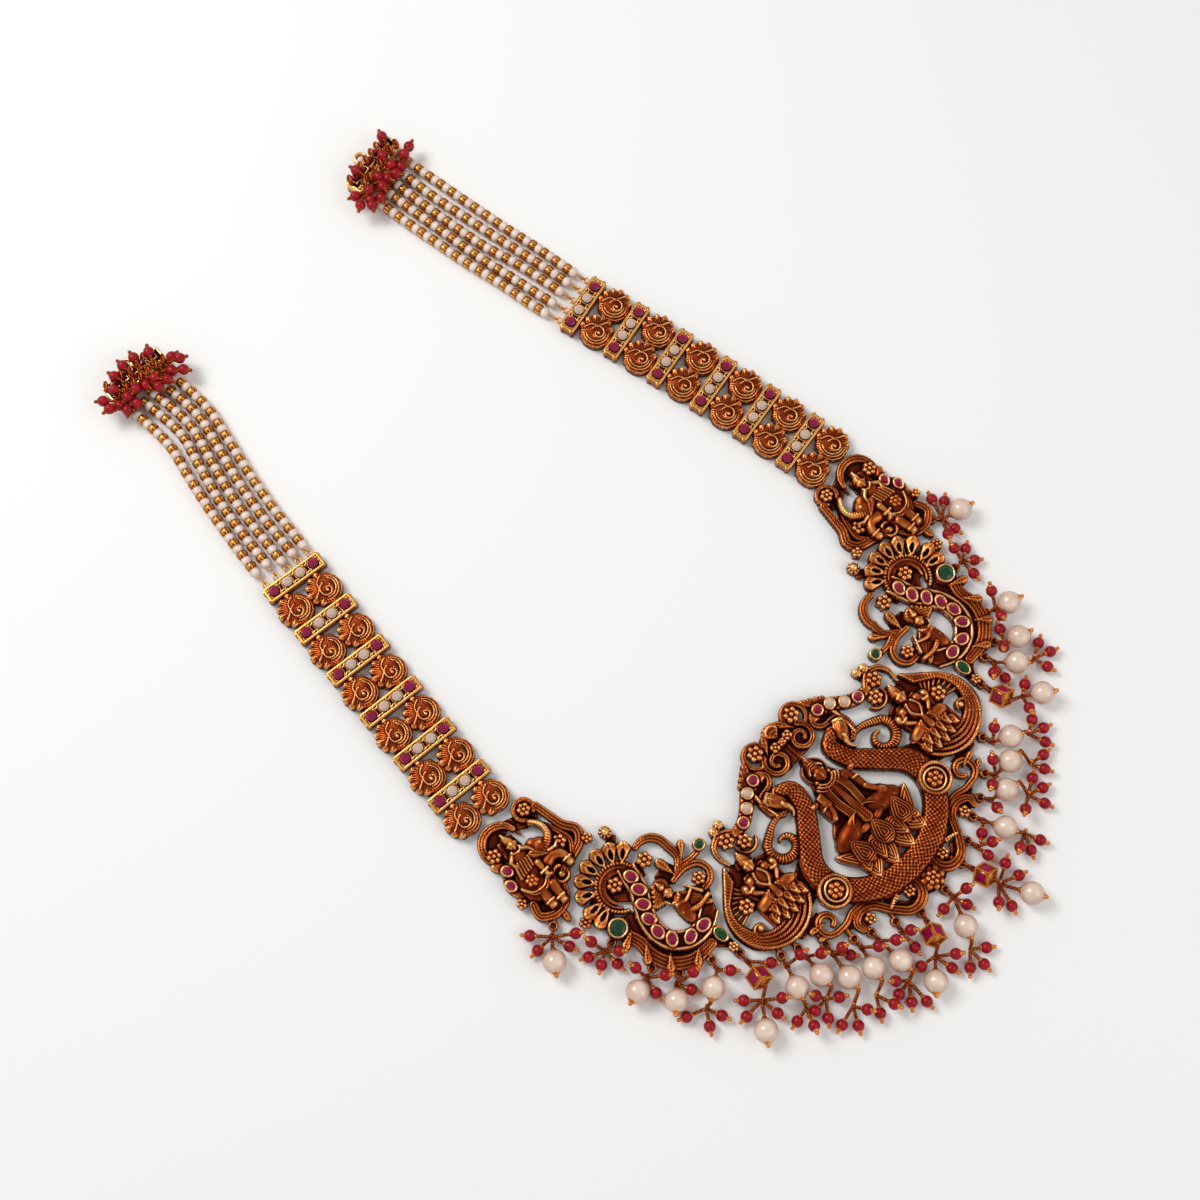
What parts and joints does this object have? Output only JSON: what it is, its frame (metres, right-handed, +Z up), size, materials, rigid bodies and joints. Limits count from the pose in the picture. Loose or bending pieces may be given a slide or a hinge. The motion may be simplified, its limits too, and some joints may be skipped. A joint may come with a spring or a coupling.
{
  "type": "temple necklace",
  "caption": "Long temple necklace lying flat: a pierced cast front with figures, peacock and elephant panels, barred side chains, pearl strings and a fringe of pearls and corals.",
  "frame": {"origin": "middle of the outer box in plan, on the surface that the necklace lies on", "axes": "+Z up, out of the front of the jewellery; +Y towards the open ends of the side strings; +X to the right as one looks at the front with the fringe below"},
  "size_m": [0.1517, 0.2529, 0.007],
  "materials": {
    "antique_gold": "dark antique gold with polished ridges",
    "bright_gold": "polished gold",
    "ruby": "faceted, deep red",
    "white_stone": "faceted, clear white",
    "emerald": "faceted, deep green",
    "pearl": "soft lustre",
    "coral": "polished, orange red"
  },
  "bodies": {
    "root": {"center_pendant": "antique_gold", "center_rubies": "ruby", "center_whites": "white_stone", "right_peacock_panel": "antique_gold", "left_peacock_panel": "antique_gold", "right_peacock_rubies": "ruby", "left_peacock_rubies": "ruby", "emeralds": "emerald", "right_elephant_panel": "antique_gold", "left_elephant_panel": "antique_gold", "elephant_rubies": "ruby", "right_bar_1": "bright_gold", "right_bar_2": "bright_gold", "right_bar_3": "bright_gold", "right_bar_4": "bright_gold", "right_bar_5": "bright_gold", "right_bar_6": "bright_gold", "left_bar_1": "bright_gold", "left_bar_2": "bright_gold", "left_bar_3": "bright_gold", "left_bar_4": "bright_gold", "left_bar_5": "bright_gold", "left_bar_6": "bright_gold", "right_shells_1": "antique_gold", "right_shells_2": "antique_gold", "right_shells_3": "antique_gold", "right_shells_4": "antique_gold", "right_shells_5": "antique_gold", "right_shells_6": "antique_gold", "left_shells_1": "antique_gold", "left_shells_2": "antique_gold", "left_shells_3": "antique_gold", "left_shells_4": "antique_gold", "left_shells_5": "antique_gold", "left_shells_6": "antique_gold", "right_bar_rubies": "ruby", "left_bar_rubies": "ruby", "right_bar_whites": "white_stone", "left_bar_whites": "white_stone", "right_string_1": "pearl", "right_string_2": "pearl", "right_string_3": "pearl", "right_string_4": "pearl", "right_string_5": "pearl", "left_string_1": "pearl", "left_string_2": "pearl", "left_string_3": "pearl", "left_string_4": "pearl", "left_string_5": "pearl", "right_end_bar": "bright_gold", "left_end_bar": "bright_gold", "end_rubies": "ruby", "right_end_tassel": "coral", "left_end_tassel": "coral", "drop_pearls": "pearl", "drop_corals": "coral", "right_drop_wires": "antique_gold", "left_drop_wires": "antique_gold", "drop_cubes": "bright_gold"}
  },
  "joints": []
}
